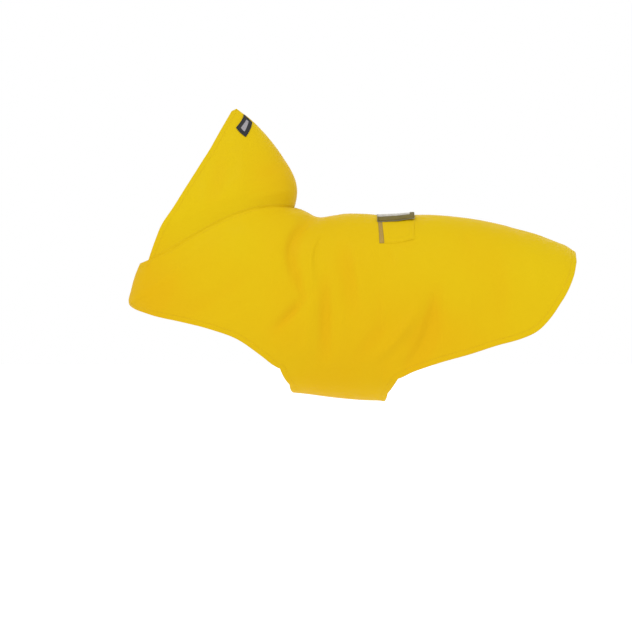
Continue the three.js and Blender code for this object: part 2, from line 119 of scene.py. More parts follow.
world = bpy.data.worlds.new("studio")
bpy.context.scene.world = world
world.use_nodes = True
sky, nodes = world.node_tree.nodes["Background"], world.node_tree.nodes
sky.inputs["Color"].default_value = (1, 1, 1, 1)
seen = nodes.new("ShaderNodeLightPath")
level = nodes.new("ShaderNodeMapRange")
level.inputs["To Min"].default_value, level.inputs["To Max"].default_value = SKY_LIGHT, SKY_SEEN
world.node_tree.links.new(seen.outputs["Is Camera Ray"], level.inputs["Value"])
world.node_tree.links.new(level.outputs["Result"], sky.inputs["Strength"])
for lamp_row in LAMPS:
    soft_sun(*lamp_row)
bpy.context.scene.view_settings.view_transform = "Standard"
print("floor at", FLOOR, "m")

# %% [markdown]
# ## The form that the cloth hangs on
# A coat that is worn takes the wearer's form. The same sections as in the CAD part give it, in
# millimetres, with the names of the columns above them. Each section of the body runs from the back
# down to the belly, rounded, and the loose rear sides drop straight. It has its half width, how far its
# side hangs straight, its bow, the share of the way down where the cloth ends at the hem, and how many
# strips of the CAD cloth follow. A section of the hood runs from the crown to the face.

# %% Sections of the body and the hood
MM = 0.001
ROUNDNESS, THROAT_TAPER, SKIRT_FLARE = 2.35, 0.24, 0.07
BOW_PEAK = 6.75  # makes a bow as deep as its column says


def table(text):
    """Columns by name: the first line has the names, and each other line is a row."""
    names, *rows = [line.split() for line in text.strip().splitlines()]
    return dict(zip(names, np.array(rows, float).T))


BODY = table("""
    back_x back_z belly_x belly_z width hang bow hem strips
    378 -58 378 -296 92 0.8 0 0.07 1
    373 -55 373 -296 94 0.8 0 0.175 1
    362 -48 362 -296 97 0.8 0 0.302 1
    349 -43 349 -296 100 0.8 0 0.4 1
    334 -37 334 -296 102 0.8 0 0.497 1
    314 -29.5 314 -296 104 0.8 0 0.585 2
    286 -22 286 -296 106 0.8 0 0.643 2
    248 -12 248 -297 108 0.8 0 0.69 2
    206 -4.5 206 -298 109 0.78 0 0.742 3
    160 0.3 160 -299 110 0.68 0 0.787 3
    119 1.2 119 -299 110 0.5 0 0.835 2
    92 0.6 92 -298 110 0.3 0 0.878 2
    71 0.5 71 -297 110 0.14 0 0.884 1
    63 0.6 62 -296 110 0.1 0 0.886 2
    42 2.5 34 -295 110 0.03 0 0.89 3
    12 3 -10 -291 110 0 0 0.89 3
    -10 0 -56 -285 110 0 0 0.885 3
    -22 -2 -106 -280 110 0 0 0.876 3
    -30 -3 -149 -271 110 0 3 0.822 3
    -38 -2 -197 -251 109 0 6 0.79 3
    -45 1 -245 -226 108 0 9 0.812 2
    -52 5 -286 -197 106 0 12 0.872 2
    -58 8 -316 -169 103 0 15 0.945 2
    -63 10 -337 -143 99 0 17 1 2
    -67 11 -334 -120 94 0 19 1 2
    -70 12 -328 -98 90 0 20 1 2
    -73 12 -320 -78 87 0 21 1 1
""")
NECK, CHEST_HEM = len(BODY["width"]) - 1, 23
# Each edge of the belly flap: its root, where it turns under, and the overlap's end
BELLY_REAR, BELLY_FRONT = (11, 11.72, 11.98), (17, 16.54, 16.36)
BELLY_OVERLAP, CHEST_OVERLAP = math.radians(26), math.radians(30)
HANG_ENDS, THROAT_START = (0.87, 0.97), 18
PANEL_ROWS, FACE_ROWS = 18, 15  # rows of a panel down to its hem, and down to the hood's face
FACE_ANGLE = math.pi * FACE_ROWS / PANEL_ROWS


def signed_power(value, power):
    return np.sign(value) * np.abs(value) ** power


def share_at(angle):
    """How far down a section an angle from the spine lies, 0 at the back and 1 at the belly."""
    return (1 - signed_power(np.cos(angle), 2 / ROUNDNESS)) / 2


def angle_at(share):
    return np.arccos(signed_power(1 - 2 * np.clip(share, 0, 1), ROUNDNESS / 2))


# How many degrees the hood closes round the head is under closes
HOOD = table("""
    crown_x crown_z face_x face_z width closes taper bow
    -73 12 0 0 87 150 0.24 21
    -69 32 -293 -38 89 138 0.2 16
    -70 51 -283 -15 88 129 0.16 12
    -77.5 71 -265 12 82 121 0.12 8
    -90.5 92 -246 43 72 114 0.1 4
    -104.5 112 -227 74 59 108 0.08 2
    -123.5 135 -208 106 43 103 0.06 0
    -144 155 -190 139 26 98 0.04 0
    -166 172 -174 168 2.5 92 0 0
""")
neck_share = float(share_at(FACE_ANGLE))
for axis in "xz":  # the hood starts on the neck line of the panels
    top, low = BODY["back_" + axis][NECK], BODY["belly_" + axis][NECK]
    HOOD["face_" + axis][0] = top + (low - top) * neck_share
HOOD_TOP = len(HOOD["width"]) - 1
print("sections:", NECK + 1, "hood rows:", HOOD_TOP + 1)

# %% [markdown]
# ## Curves through the sections
# A smooth curve through each column gives the form between two sections, and a small step along and
# round the form gives the direction that points out of it.

# %% Forms of the body and the hood


def column(values, place):
    """A smooth curve through one column of a table, straight past its ends."""
    last = len(values) - 1
    i = np.clip(np.floor(place).astype(int), 0, last - 1)
    t = place - i
    p1, p2 = values[i], values[i + 1]
    p0 = np.where(i > 0, values[np.maximum(i - 1, 0)], 2 * p1 - p2)
    p3 = np.where(i + 2 <= last, values[np.minimum(i + 2, last)], 2 * p2 - p1)
    curve = p1 + 0.5 * t * (p2 - p0 + t * (2 * p0 - 5 * p1 + 4 * p2 - p3 + t * (3 * (p1 - p2) + p3 - p0)))
    curve = np.where(place < 0, values[0] + (values[1] - values[0]) * place, curve)
    return np.where(place > last, values[last] + (values[last] - values[last - 1]) * (place - last), curve)


def beside(*columns):
    return np.stack(columns, axis=-1)


def ramp(value, low, high):
    share = np.clip((value - low) / (high - low), 0, 1)
    return share * share * (3 - 2 * share)


def down_a_section(value, start, end, share, whole=1.0):
    """x and z of points a share of the way down their sections, which bow outwards."""
    along_x = (value[end + "_x"] - value[start + "_x"]) / whole
    along_z = (value[end + "_z"] - value[start + "_z"]) / whole
    length = np.hypot(along_x, along_z)
    bow = value["bow"] * (BOW_PEAK * share * (1 - share) ** 2)
    return (value[start + "_x"] + along_x * share + bow * along_z / length,
            value[start + "_z"] + along_z * share - bow * along_x / length)


def body_form(place, angle):
    value = {name: column(BODY[name], place) for name in BODY}
    share, width = share_at(angle), value["width"]
    x, z = down_a_section(value, "back", "belly", share)
    hang = value["hang"] * (1 - ramp(share, *HANG_ENDS))
    rounded = width * signed_power(np.sin(angle), 2 / ROUNDNESS)
    flared = np.sign(np.sin(angle)) * width * (1 + SKIRT_FLARE * (2 * share - 1))
    straight = np.where(angle > math.pi / 2, flared, rounded)  # the lower half hangs
    taper = 1 - THROAT_TAPER * share * ramp(place, THROAT_START, NECK)
    return beside(x, (rounded + (straight - rounded) * hang) * taper, z)


def hood_form(row, angle):
    value = {name: column(HOOD[name], row) for name in HOOD}
    closes = np.radians(value["closes"])
    turned = angle / FACE_ANGLE * closes
    share = share_at(turned)
    x, z = down_a_section(value, "crown", "face", share, share_at(closes))
    rounded = value["width"] * signed_power(np.sin(turned), 2 / ROUNDNESS)
    return beside(x, rounded * (1 - value["taper"] * share), z)


def unit(vectors):
    return vectors / np.maximum(np.linalg.norm(vectors, axis=-1, keepdims=True), 1e-12)


STEP, ON_LINE = 0.02, 1e-6  # a small step along or round the form, and what still counts as on a line


def outward(form, place, angle):
    along = form(place + STEP, angle) - form(place - STEP, angle)
    round_it = form(place, angle + STEP) - form(place, angle - STEP)
    normal = np.cross(round_it, along)
    normal[np.abs(angle) < ON_LINE, 1] = 0
    return unit(normal)


print("middle of the neck seam, mm:", body_form(np.array([float(NECK)]), np.array([1.5]))[0].round())

# %% [markdown]
# ## Folds
# The cloth is drawn in behind the neck, around the shoulder and above the belly flap. Each fold is a
# row: its side (-1 left, 1 right, 0 both), x and z of its start, of the point that it
# bends towards and of its end, its half width, its height, and how far it leans to one steep and one
# soft flank, as creases in coated cloth do. A trough has a height below zero. The first table has the
# large folds, which the CAD part has too, some of them moved here by a few millimetres to lie just
# where they do in the photo. The hidden right side has folds of the same kind in other places.

# %% Tables of folds


def fold_rows(text):
    rows = [line.split() for line in text.strip().splitlines() if "#" not in line]
    return np.array(rows, float).tolist()


FOLDS = fold_rows("""
    0 -50 -8 -97 -50 -60 -124 11 -4.6 0
    -1 -48 -124 -69 -149 -105 -186 11 -3.5 0
    0 -34 -24 -56 -62 -40 -106 11 2.8 0
    0 -26 -104 -28 -160 -26 -222 12 -4.5 0
    -1 -52 -116 -48 -162 -54 -214 12 3 0
    0 6 -54 10 -100 18 -150 13 -3 0
    -1 156 -124 154 -184 112 -244 14 -5.5 0
    -1 124 -148 104 -188 58 -228 10 3.8 0
    -1 64 -176 50 -200 26 -232 11 -1.7 0
    1 150 -108 128 -176 88 -236 15 -5 0
    1 104 -118 82 -170 50 -218 15 4 0
    1 -84 -112 -94 -150 -122 -188 13 -3.5 0
    1 62 -92 56 -140 38 -192 14 -3 0
""")
CREASES = fold_rows("""
    # behind the neck, down and round the shoulder
    0 -52 -16 -97 -44 -70 -96 5 -2.1 0.4
    -1 -66 -92 -71 -110 -57 -136 4.5 -1.7 -0.4
    -1 -58 -137 -77 -160 -102 -181 5 -1.8 0.4
    0 -30 -30 -56 -61 -42 -112 4.5 1.9 0.3
    -1 -32 -40 -47 -68 -30 -112 4 -1.3 0.3
    -1 -104 -40 -116 -74 -106 -112 9 1 -0.3
    -1 -62 -134 -66 -168 -76 -202 8 1.1 0.3
    # down the side behind the shoulder
    -1 -20 -104 -22 -152 -19 -216 6 -1.6 0.4
    -1 -34 -118 -31 -160 -37 -206 7 1.1 -0.3
    0 15 -60 22 -100 28 -150 6 -1.3 0.4
    -1 2 -150 4 -190 -4 -228 7 1.1 0.3
    -1 30 -84 40 -124 48 -168 9 0.9 -0.3
    -1 60 -120 66 -150 62 -184 8 -0.8 0.3
    # up from the belly flap's rear corner
    -1 150 -132 146 -187 110 -238 5.5 -2.2 0.5
    -1 122 -146 102 -186 62 -224 5.5 1.5 -0.3
    -1 56 -204 66 -188 74 -168 5.5 -0.9 0.3
    -1 106 -214 118 -196 126 -170 7 -0.8 -0.3
    -1 168 -120 160 -166 140 -206 9 1.2 0.3
    -1 78 -236 96 -226 112 -210 7 1 0.3
    # near the lead slit
    -1 74 -46 82 -62 87 -84 5.5 -1.1 0.3
    -1 80 -45 100 -48 124 -42 4.5 -1.2 0.5
    -1 196 -28 206 -40 214 -62 7 -0.8 0.3
    -1 52 -34 48 -60 56 -90 8 0.9 0.3
    # chest, and the small pinch under the hood's front corner
    0 -140 -92 -186 -128 -246 -158 12 -1.3 0.3
    -1 -130 -150 -172 -164 -222 -192 10 1.1 -0.3
    0 -262 -96 -280 -128 -288 -164 10 -1.1 0.3
    -1 -309 -72 -307 -80 -305 -92 4 -2.2 0.3
    # loose rear sides
    0 252 -66 262 -118 256 -184 14 -1.7 0.2
    -1 302 -56 318 -96 320 -146 12 1.4 -0.2
    -1 206 -110 214 -158 204 -214 12 1.3 0.2
    1 196 -94 208 -146 196 -210 12 1.4 -0.2
    1 292 -62 304 -104 300 -160 12 -1.3 0.2
    # the hidden side's own creases
    1 -84 -70 -64 -108 -60 -140 6.5 -1.6 0.4
    1 -60 -136 -82 -158 -118 -182 6 -1.4 -0.4
    1 -24 -96 -30 -148 -22 -212 6.5 -1.6 -0.4
    1 -44 -124 -42 -164 -50 -210 8 1.2 0.3
    1 148 -116 132 -180 98 -230 6.5 -1.8 0.5
    1 106 -132 86 -172 58 -210 7 1.3 -0.3
    1 62 -100 58 -140 42 -186 6 -1.2 0.4
    1 82 -40 96 -52 116 -50 5 -1 0.4
    1 174 -130 166 -170 148 -212 9 1.1 0.3
    1 -144 -140 -180 -160 -230 -186 10 1.1 0.3
""")
HOOD_FOLDS = fold_rows("""
    0 -153 120 -156 88 -160 44 14 3 0
    0 -186 96 -196 50 -204 8 16 -3 0
    -1 -92 78 -112 66 -138 62 9 -1.2 0.3
    -1 -80 36 -104 34 -138 22 10 1.2 -0.3
    1 -96 84 -118 66 -142 58 9 -1.3 0.3
    1 -82 40 -110 30 -140 24 10 1.1 -0.3
    -1 -232 44 -238 20 -252 -8 8 0.9 0.3
    1 -228 50 -236 24 -250 -4 8 -0.9 0.3
    0 -148 128 -150 108 -146 82 6 -0.8 0.4
    -1 -172 60 -184 34 -206 4 9 0.9 0.3
""")


FOLD_REACH, FOLD_STEPS = 3.2, 15  # in half widths, and points along a fold
FADE_START, FADE_RUN = 0.12, 0.76  # a fold is lower towards both ends


def fold_height(folds, half, x, z):
    """Height of all folds at places seen from the side, on the halves that half names."""
    height = np.zeros(len(x))
    t = np.linspace(0, 1, FOLD_STEPS)[:, None]
    for side, *ends, half_width, top, lean in folds:
        start, via, end = np.array(ends).reshape(3, 2)
        line = (1 - t) ** 2 * start + 2 * t * (1 - t) * via + t * t * end
        reach = FOLD_REACH * half_width
        low, high = line.min(axis=0) - reach, line.max(axis=0) + reach
        near = (x > low[0]) & (x < high[0]) & (z > low[1]) & (z < high[1])
        if side != 0:
            near &= half == side
        where = np.nonzero(near)[0]
        if len(where) == 0:
            continue
        point = beside(x[where], z[where])
        best = np.full(len(where), np.inf)
        share, offset = np.zeros(len(where)), np.zeros(len(where))
        for k in range(len(line) - 1):
            run = line[k + 1] - line[k]
            span = float(run @ run)
            gap = point - line[k]
            along = np.clip(gap @ run / span, 0, 1)
            rest = gap - along[:, None] * run
            distance = np.hypot(rest[:, 0], rest[:, 1])
            cross = (gap[:, 0] * run[1] - gap[:, 1] * run[0]) / math.sqrt(span)
            closer = distance < best
            best[closer], offset[closer] = distance[closer], cross[closer]
            share[closer] = (k + along[closer]) / (len(line) - 1)
        width = half_width * (1 + lean * np.clip(offset / half_width, -1, 1))
        fade = np.sin(math.pi * (FADE_START + FADE_RUN * share))
        height[where] += top * fade * np.exp(-((best / width) ** 2))
    return height


def wander(points, size, seed):
    """Smooth noise between -1 and 1 at points in millimetres."""
    return np.array([noise.noise(Vector(p) / size + Vector((seed, 2.3 * seed, 0))) for p in points])


print("large folds:", len(FOLDS), "creases:", len(CREASES), "on the hood:", len(HOOD_FOLDS))

# %% [markdown]
# ## Laying cloth on the form
# A place along the body and an angle round it from the spine name one point of the cloth. Where the
# left flaps close over the right ones, the left cloth is lifted by one thickness. At the neck line the
# panel and the hood meet at an angle, so both edges are cut on the slope halfway between theirs, which
# closes the seam.

# %% Points on the body and the hood
CAD_CLOTH, SEAM_GAP, TAPE, TRIM_GAP = 1.4, 0.3, 0.8, 0.4
SEWN_GAP = 0.02  # between two edges that are sewn together
CLOTH, HEM = 0.8, 1.3  # the cloth's thickness here, and where it is turned in and doubled
# Height, size and seed of the gentle unevenness of the cloth between its folds
DRAPE = [(0.9, 46, 3.1), (0.28, 17, 8.7)]
SIDES_APART = 60  # so that left and right aren't uneven in the same way
# From and to which angles from the spine, in degrees: the left flaps lift, and folds rise and end
LIFT_AT, RISE_AT = np.radians((130, 150)), np.radians((0, 22))
END_AT, HOOD_RISE_AT = np.radians((122, 148)), np.radians((0, 30))
# From and to which rows of the hood: folds rise and end, and the hood leaves the panel's neck edge
HOOD_ROWS_RISE, HOOD_ROWS_END, NECK_HOLDS = (0.3, 1.6), (7.2, 8), (0, 2)
CALM_PEAK = 0.9  # how much of the folds ends at the peak


def closure_lift(side, angle):
    return (CAD_CLOTH + SEAM_GAP) * ramp(angle, *LIFT_AT) if side < 0 else 0 * angle


def drape(half, points):
    seeded = points * [1, 0, 1] + beside(0 * half, SIDES_APART * half, 0 * half)
    return sum(height * wander(seeded, size, seed) for height, size, seed in DRAPE)


def panel_rise(half, point, turned):
    """How far folds and unevenness move a panel out of its form."""
    settled = ramp(turned, *RISE_AT) * (1 - ramp(turned, *END_AT))
    return settled * (fold_height(FOLDS + CREASES, half, point[:, 0], point[:, 2]) + drape(half, point))


def body_lay(side, place, angle, lift):
    turned = np.abs(angle)
    half = np.where(angle < 0, -side, side)
    point = body_form(place, turned)
    rise = panel_rise(half, point, turned)
    point = point + outward(body_form, place, turned) * (rise + lift)[:, None]
    point[angle < 0, 1] *= -1
    return point


def neck_line(side, angle):
    """Points of the neck seam, and the direction that points out of the panel there."""
    place = np.full(len(angle), float(NECK))
    point, out = body_form(place, angle), outward(body_form, place, angle)
    rise = closure_lift(side, angle) + panel_rise(np.full(len(angle), side), point, angle)
    return point + out * rise[:, None], out, rise


def hood_lay(side, row, angle, lift):
    point = hood_form(row, angle)
    settled = ramp(angle, *HOOD_RISE_AT) * ramp(row, *HOOD_ROWS_RISE)
    settled *= 1 - ramp(row, *HOOD_ROWS_END) * CALM_PEAK
    half = np.full(len(row), side)
    height = fold_height(HOOD_FOLDS, half, point[:, 0], point[:, 2]) + drape(half, point)
    point = point + outward(hood_form, row, angle) * (height * settled + lift)[:, None]
    _, out, rise = neck_line(side, angle)
    return point + out * (rise * (1 - ramp(row, *NECK_HOLDS)))[:, None]


SHORTEST, LONGEST = -0.6, 1.4  # how far an edge may move at the neck
ROW_STEP = 0.1


def meet_at_neck(points, lay, side, angle):
    """Slides edge points along their own cloth until panel and hood meet halfway between their slopes."""
    place, row = np.full(len(angle), float(NECK)), np.zeros(len(angle))
    line, out, _ = neck_line(side, angle)
    run = unit(body_form(place, angle + STEP) - body_form(place, angle - STEP))
    up = unit(hood_form(row + ROW_STEP, angle) - hood_form(row, angle))
    ahead = unit(body_form(place, angle) - body_form(place - ROW_STEP, angle))
    across = unit(np.cross(run, out + outward(hood_form, row, angle)))
    across *= np.sign((across * (up + ahead)).sum(axis=-1, keepdims=True))
    own, gap = (up, SEWN_GAP / 2) if lay is hood_lay else (ahead, -SEWN_GAP / 2)
    short = gap - ((points - line) * across).sum(axis=-1)
    return points + own * np.clip(short / (own * across).sum(axis=-1), SHORTEST, LONGEST)[:, None]


def hem_angle(place):
    return angle_at(column(BODY["hem"], place))


def row_angle(place, row):
    return hem_angle(place) * row / PANEL_ROWS


def on_neck(place, angle):
    return (place > NECK - ON_LINE) & (angle < FACE_ANGLE + STEP)


SLIT_FRONT, SLIT_BACK = (12.1, 12.3), (10.3, 10.6)  # where the slit's ends close
SLIT_OPEN, HIPS = 0.12, 7.0


def spine_gap(place):
    return SEWN_GAP / 2 + SLIT_OPEN * (ramp(place, *SLIT_BACK) * (1 - ramp(place, *SLIT_FRONT)))


print("hem at the hips, degrees from the spine:", round(math.degrees(hem_angle(np.array([HIPS]))[0])))

# %% [markdown]
# ## From a grid to a piece of cloth
# Each piece is a sheet of quads that is given an inner face and a rounded edge. For each point the
# distance to the nearest hem and to the nearest seam is kept, in millimetres, so the finish can turn
# the hem in, and the cloth can pucker a little along each line of stitches. The sheet is also
# flattened with Blender's unwrap, as a pattern cutter would, which gives the weave its direction and
# the piece its cut size.

# %% Sheets of quads


def merge_grids(grids):
    """Stations (place, angle) of all grids, each kept once, and the quads between them."""
    stations = np.concatenate([grid.reshape(-1, 2) for grid in grids])
    _, first, index = np.unique(stations.round(5), axis=0, return_index=True, return_inverse=True)
    index = index.reshape(-1)
    quads, start = [], 0
    for grid in grids:
        lines, points = grid.shape[:2]
        ids = index[start:start + lines * points].reshape(lines, points)
        quads.append(beside(ids[:-1, :-1], ids[1:, :-1], ids[1:, 1:], ids[:-1, 1:]).reshape(-1, 4))
        start += lines * points
    return stations[first], np.concatenate(quads)


def halves(quads):
    """Two triangles for each quad."""
    return np.concatenate([quads[:, [0, 1, 2]], quads[:, [0, 2, 3]]])


def free_edges(quads):
    sides = np.concatenate([quads[:, [k, (k + 1) % 4]] for k in range(4)])
    back = {(q, p) for p, q in sides.tolist()}
    return np.array([edge for edge in sides.tolist() if tuple(edge) not in back])


FAR, MARKS_AN_EDGE = 99.0, 4


def nearest_on(points, edges, chosen):
    """Distance from each point to the nearest chosen edge, and how far along those edges it is."""
    edges = edges[chosen]
    if len(edges) == 0:
        return np.full(len(points), FAR), np.zeros(len(points))
    following = {int(p): int(q) for p, q in edges}
    starts = [p for p in following if p not in set(following.values())] or [int(edges[0, 0])]
    along, run, seen = {}, 0.0, set()
    for start in starts + list(following):
        p = start
        while p in following and p not in seen:
            seen.add(p)
            along[p] = run
            run += float(np.linalg.norm(points[following[p]] - points[p]))
            p = following[p]
    tree, marks = kdtree.KDTree(len(edges) * MARKS_AN_EDGE), []
    for p, q in edges:
        step = points[q] - points[p]
        for k in range(MARKS_AN_EDGE):
            tree.insert(points[p] + step * k / MARKS_AN_EDGE, len(marks))
            marks.append(along[int(p)] + float(np.linalg.norm(step)) * k / MARKS_AN_EDGE)
    tree.balance()
    found = [tree.find(p) for p in points]
    return np.array([f[2] for f in found]), np.array([marks[f[1]] for f in found])


def mesh_object(name, points, faces):
    mesh = bpy.data.meshes.new(name)
    mesh.from_pydata((points * MM).tolist(), [], faces)
    return add_object(name, mesh)


def select_only(thing):
    deselect_all()
    thing.select_set(True)
    bpy.context.view_layer.objects.active = thing


def corners_of(mesh):
    """The point at each corner of each face."""
    corner = np.empty(len(mesh.loops), int)
    mesh.loops.foreach_get("vertex_index", corner)
    return corner


def flatten(points, quads):
    """The sheet laid flat: its points in metres, and its width and length."""
    pattern = mesh_object("pattern", points, quads.tolist())
    mesh = pattern.data
    mesh.uv_layers.new(name="flat")
    select_only(pattern)
    bpy.ops.object.mode_set(mode="EDIT")
    bpy.ops.mesh.select_all(action="SELECT")
    bpy.ops.uv.unwrap(method="CONFORMAL", margin=0)
    bpy.ops.object.mode_set(mode="OBJECT")
    loops = np.empty(len(mesh.loops) * 2)
    mesh.uv_layers["flat"].data.foreach_get("uv", loops)
    flat = np.zeros((len(points), 2))
    flat[corners_of(mesh)] = loops.reshape(-1, 2)
    bpy.data.objects.remove(pattern)
    bpy.data.meshes.remove(mesh)
    first, second = diagonals(flat, quads)
    flat_area = np.abs(first[:, 0] * second[:, 1] - first[:, 1] * second[:, 0]).sum() / 2
    flat *= math.sqrt(sheet_area(points, quads) / flat_area)
    centre = flat - flat.mean(axis=0)
    side_view = points[:, [0, 2]] - points[:, [0, 2]].mean(axis=0)
    crossed = (centre[:, 0] * side_view[:, 1] - centre[:, 1] * side_view[:, 0]).sum()
    turn = math.atan2(crossed, (centre * side_view).sum())
    cos, sin = math.cos(turn), math.sin(turn)
    flat = centre @ np.array([[cos, sin], [-sin, cos]])
    return flat, flat.max(axis=0) - flat.min(axis=0)


def diagonals(points, quads):
    return points[quads[:, 2]] - points[quads[:, 0]], points[quads[:, 3]] - points[quads[:, 1]]


def sheet_area(points, quads):
    """Area of the sheet in square metres."""
    return float(np.linalg.norm(np.cross(*diagonals(points, quads)), axis=-1).sum() / 2) * MM * MM


# Where warmer, darker yellow is painted in as shade: x and z in millimetres, how far it reaches, and how
# much
PAINTED_SHADE_PLACES = [(-312, -112, 75, 0.7), (20, -168, 120, 0.3), (118, -205, 75, 0.35), (-96, 62, 58, 0.62),
               (300, -110, 90, -0.15), (2, -278, 60, 0.3)]
# Painted shade, warmer and darker from the back down to the belly
SHADE_BELOW, BELOW = 0.42, (-40, 240)  # more and more from the back down to the belly
# Painted shade in a hollow, for each millimetre of depth: on both sides alike, and more on the left than on
# the right
HOLLOW_SHADE, HOLLOW_SHADE_LEFT, DEEPEST = 0.08, 0.02, 4


# Warmer, darker yellow painted in as shade: low down, at the listed places and in the hollows of folds
def painted_warm_shade(points, folds):
    x, z = points[:, 0], points[:, 2]
    painted_shade = SHADE_BELOW * ramp(-z, *BELOW)
    for place_x, place_z, reach, much in PAINTED_SHADE_PLACES:
        painted_shade += much * np.exp(-((x - place_x) ** 2 + (z - place_z) ** 2) / reach ** 2)
    side = np.sign(points[:, 1])
    return painted_shade + (HOLLOW_SHADE - HOLLOW_SHADE_LEFT * side) * np.clip(-fold_height(folds, side, x, z), 0, DEEPEST)


print("helpers for sheets are ready")

# %% Closed walls of cloth
made = {}
RIM_OUT = 0.42  # how far the middle of a cut edge stands out, as a share of the thickness
RIM_INSIDE = 0.3  # a rim is coloured a little as the inside is
SHARP = math.radians(50)  # an edge sharper than this isn't shaded smooth


def wall_object(name, outer, inner, quads, edges, sewn_edge, flat, marks):
    """A closed wall between two faces, with a rounded edge where it isn't sewn."""
    count = len(outer)
    rim_ids = np.unique(edges)
    rim_of = {int(v): 2 * count + k for k, v in enumerate(rim_ids)}
    push = np.zeros((count, 3))
    centre = {}
    for quad in quads:
        for k in range(4):
            centre[(int(quad[k]), int(quad[(k + 1) % 4]))] = quad
    for (p, q), sewn in zip(edges.tolist(), sewn_edge):
        if sewn:
            continue
        away = (outer[p] + outer[q]) / 2 - outer[centre[(p, q)]].mean(axis=0)
        run = unit(outer[q] - outer[p])
        away = unit(away - run * (away @ run))
        push[p] += away
        push[q] += away
    thick = np.linalg.norm(outer - inner, axis=-1)
    middle_points = (outer + inner) / 2 + unit(push) * (RIM_OUT * thick)[:, None]
    points = np.concatenate([outer, inner, middle_points[rim_ids]])
    faces = quads.tolist() + (quads[:, ::-1] + count).tolist()
    for p, q in edges.tolist():
        faces.append([q, p, rim_of[p], rim_of[q]])
        faces.append([rim_of[q], rim_of[p], p + count, q + count])
    a, b, c = (points[column] for column in halves(np.array(faces)).T)
    if (a * np.cross(b, c)).sum() < 0:
        faces = [face[::-1] for face in faces]
    piece = mesh_object(name, points, faces)
    mesh = piece.data
    source = np.concatenate([np.arange(count), np.arange(count), rim_ids])
    uv = mesh.uv_layers.new(name="cloth")
    uv.data.foreach_set("uv", flat[source][corners_of(mesh)].astype(np.float32).ravel())
    marks = {key: value[source] for key, value in marks.items()}
    marks["inside"] = np.concatenate([np.zeros(count), np.ones(count), np.full(len(rim_ids), RIM_INSIDE)])
    for key, value in marks.items():
        layer = mesh.attributes.new(key, "FLOAT", "POINT")
        layer.data.foreach_set("value", value.astype(np.float32))
    select_only(piece)
    bpy.ops.object.shade_smooth_by_angle(angle=SHARP)
    return piece


def at(value, place):
    """A value that may change along the body."""
    return value(place) if callable(value) else value + 0 * place


HEM_BAND = (9.5, 12.5)  # where the turned-in hem ends
# Puckers along an edge: how far in they fade, how long they are, and their seed
SEAM_PUCKERS, HEM_PUCKERS = (9, 9, 5.2), (8, 13, 9.4)
SUNK, HEM_SHARE = 0.3, 0.8  # a seam's puckers lie a little deeper, and a hem's are lower
ROLL_REACH = 1.6


def puckers(distance, along, side, fade, size, seed):
    """How much is left of the puckers at each point, and the puckers."""
    return np.exp(-distance / fade), wander(beside(along, 0 * along, 0 * along), size, seed + side)


def to_the_seams(face, lay, side, place, angle, spine, at_neck):
    """Brings the edge of one face to the middle, and to the neck line if it reaches there."""
    if at_neck:
        neck = place < ON_LINE if lay is hood_lay else on_neck(place, angle)
        face[neck] = meet_at_neck(face[neck], lay, side, angle[neck])
    in_middle = np.abs(angle) < ON_LINE
    face[:, 1] = np.where(in_middle, at(spine, place), face[:, 1])
    close = ~in_middle & (angle < math.pi - ON_LINE)
    face[close, 1] = np.maximum(face[close, 1], SEWN_GAP / 2)


def sew(name, node, lay, side, grids, lift=None, thickness=CLOTH, hem=None, spine=None, sewn=None,
        pucker=0.3, roll=0.16):
    """Lays one piece of cloth on its form. sewn says which free edges are seams and not hems."""
    stations, quads = merge_grids(grids)
    place, angle = stations.T
    base = at(lift or 0, place)
    if lay is body_lay and lift is None:
        base = closure_lift(side, angle)
    hem = hem or thickness
    rough = lay(side, place, angle, base)
    edges = free_edges(quads)
    joined = sewn(place, angle) if sewn else np.zeros(len(place), bool)
    sewn_edge = joined[edges[:, 0]] & joined[edges[:, 1]]
    hem_mm, hem_along = nearest_on(rough, edges, ~sewn_edge)
    seam_mm, seam_along = nearest_on(rough, edges, sewn_edge)
    left, wave = puckers(seam_mm, seam_along, side, *SEAM_PUCKERS)
    height = pucker * left * (wave - SUNK)
    left, wave = puckers(hem_mm, hem_along, side, *HEM_PUCKERS)
    height += HEM_SHARE * pucker * left * wave
    height -= roll * np.exp(-((seam_mm / ROLL_REACH) ** 2))
    thick = thickness + (hem - thickness) * (1 - ramp(hem_mm, *HEM_BAND))
    outer = lay(side, place, angle, base + height)
    inner = lay(side, place, angle, base + height - thick)
    for face in (outer, inner):
        if spine is not None:
            to_the_seams(face, lay, side, place, angle, spine, thickness == CLOTH)
        if side < 0:
            face[:, 1] *= -1
    flat, size = flatten(outer, quads)
    folds = HOOD_FOLDS if lay is hood_lay else FOLDS + CREASES
    # The third mark is the warmer, darker yellow painted in as shade
    marks = {"hem_mm": hem_mm, "seam_mm": seam_mm, "painted_shade": painted_warm_shade(outer, folds)}
    piece = wall_object(name, outer, inner, quads, edges, sewn_edge, flat, marks)
    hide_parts(node)
    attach(piece, "root")
    area = sheet_area(outer, quads)
    made[name] = dict(piece=piece, outer=outer, inner=inner, quads=quads, size=size, area=area, **marks)
    print(name, "faces:", len(piece.data.polygons), "cut, m:", size.round(3), "area, m2:", round(area, 4))


print("walls are", CLOTH, "mm thick and", HEM, "mm at a hem")

# %% [markdown]
# ## Side panels
# Each panel is cut in one with its half of the back, its chest flap and its belly flap. Its grid has
# lines along the same places as the CAD part, with more between them, and close ones along the spine
# and the hems, where a seam or a turned edge needs them.

# %% Grids of a side panel
CLOSE = np.array([0.0, 0.08, 0.22, 0.45, 0.72])  # rows that lie close, in from an edge
PLACE_PARTS, ROW_PARTS = 4, 5  # how much finer than the CAD cloth
EDGE_STEPS, LAP_STEPS, CHEST_STEPS = 12, 26, 14


